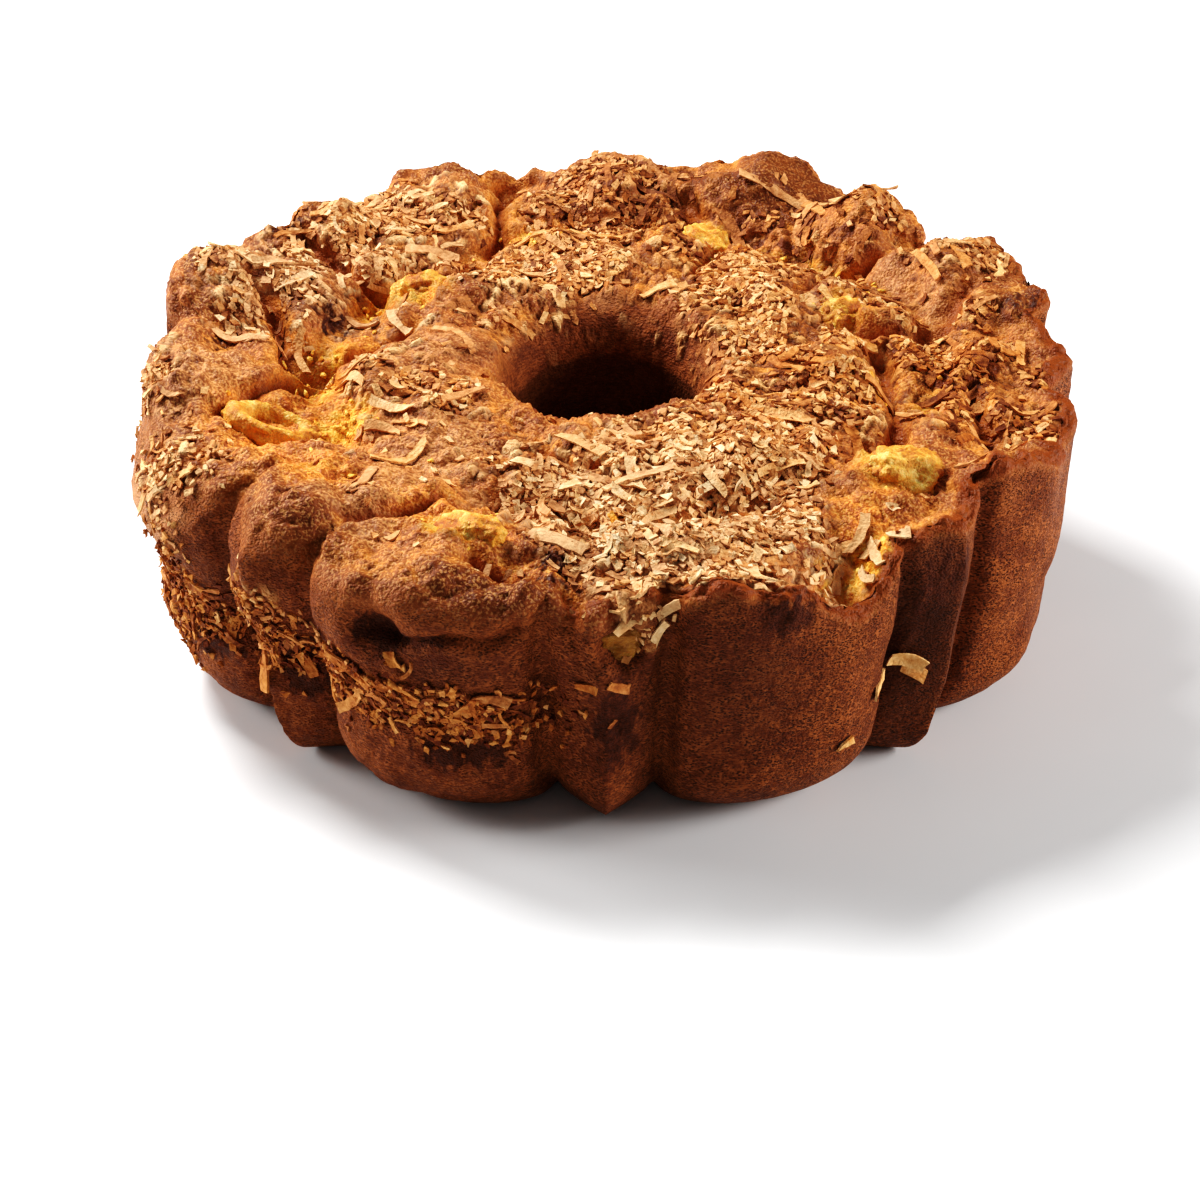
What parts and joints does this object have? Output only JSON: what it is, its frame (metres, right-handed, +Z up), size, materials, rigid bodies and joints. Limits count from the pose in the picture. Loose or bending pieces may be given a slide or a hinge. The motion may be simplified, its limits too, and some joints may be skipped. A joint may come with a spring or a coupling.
{
  "type": "pineapple cake",
  "caption": "Fluted ring cake, risen side up, with a craggy golden crust, toasted coconut flakes and pineapple pieces; it stands on its flat underside.",
  "frame": {"origin": "middle of the ring on the surface that the cake stands on", "axes": "+Z up; -Y is the front, the side that faces the picture's viewer; +X is the viewer's right"},
  "size_m": [0.2355, 0.2319, 0.0885],
  "materials": {
    "crust": "baked golden-brown crust, half matt, darker where it met the tin",
    "pineapple": "moist baked fruit, half glossy",
    "coconut": "dry toasted flakes, cream to tan"
  },
  "bodies": {
    "root": {"cake": "crust", "pineapple_1": "pineapple", "pineapple_2": "pineapple", "pineapple_3": "pineapple", "pineapple_4": "pineapple", "pineapple_5": "pineapple", "pineapple_6": "pineapple", "pineapple_7": "pineapple"}
  },
  "joints": []
}
